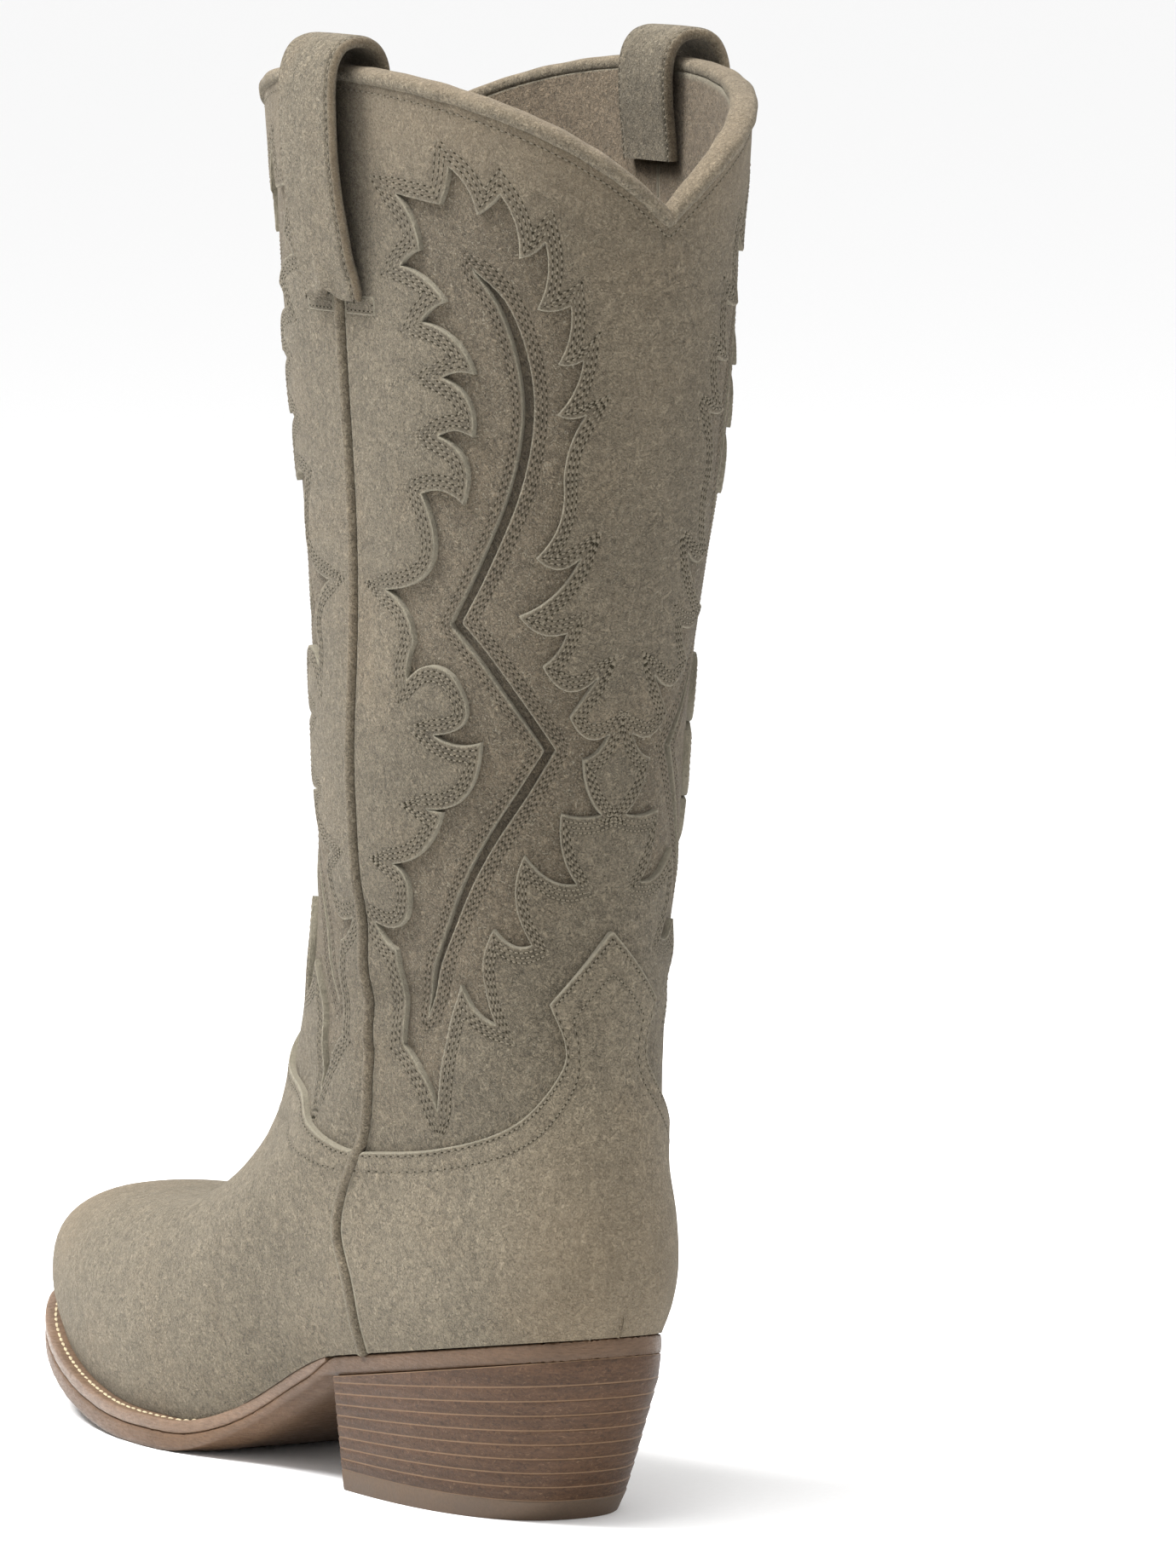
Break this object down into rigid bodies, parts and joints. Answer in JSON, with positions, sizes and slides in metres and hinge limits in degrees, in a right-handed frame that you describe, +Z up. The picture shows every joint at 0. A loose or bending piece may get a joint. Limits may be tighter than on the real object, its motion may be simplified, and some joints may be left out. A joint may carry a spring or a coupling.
{
  "type": "cowboy boot",
  "caption": "Left pull-on western boot: tall suede shaft with cut-out flame overlays, notched top line, side pull straps, round toe and stacked underslung heel.",
  "frame": {"origin": "on the floor, under the middle of the boot's box", "axes": "+Z up, -Y towards the toe, +X towards the outer side of the left foot"},
  "size_m": [0.1106, 0.3013, 0.3552],
  "materials": {
    "suede": "matte suede nap",
    "suede_inset": "matte suede nap",
    "suede_lining": "matte suede",
    "board": "matte",
    "sole_leather": "waxed satin edge",
    "heel_leather": "stacked, sanded and waxed",
    "heel_rubber": "matte",
    "cork": "matte granular",
    "steel": "brushed"
  },
  "bodies": {
    "root": {"back_flame_overlay": "suede", "back_inlay_inner": "suede_inset", "back_inlay_outer": "suede_inset", "back_lining": "suede_lining", "cork_filler": "cork", "counter_stiffener": "board", "front_flame_overlay": "suede", "front_inlay_inner": "suede_inset", "front_inlay_outer": "suede_inset", "front_lining": "suede_lining", "heel_counter": "suede", "heel_lift_1": "heel_leather", "heel_lift_2": "heel_leather", "heel_lift_3": "heel_leather", "heel_lift_4": "heel_leather", "heel_lift_5": "heel_leather", "heel_lift_6": "heel_leather", "heel_lift_7": "heel_leather", "heel_lift_8": "heel_leather", "heel_nail_1": "steel", "heel_nail_2": "steel", "heel_nail_3": "steel", "heel_nail_4": "steel", "heel_rand": "heel_leather", "heel_top_piece": "heel_rubber", "insole": "board", "outsole": "sole_leather", "pull_strap_inner": "suede", "pull_strap_outer": "suede", "shaft_back_panel": "suede_inset", "shaft_front_panel": "suede_inset", "shank": "steel", "side_piping_inner": "suede", "side_piping_outer": "suede", "sock_lining": "suede_lining", "toe_puff": "board", "top_binding": "suede", "vamp": "suede", "vamp_lining": "suede_lining", "welt": "sole_leather"}
  },
  "joints": []
}
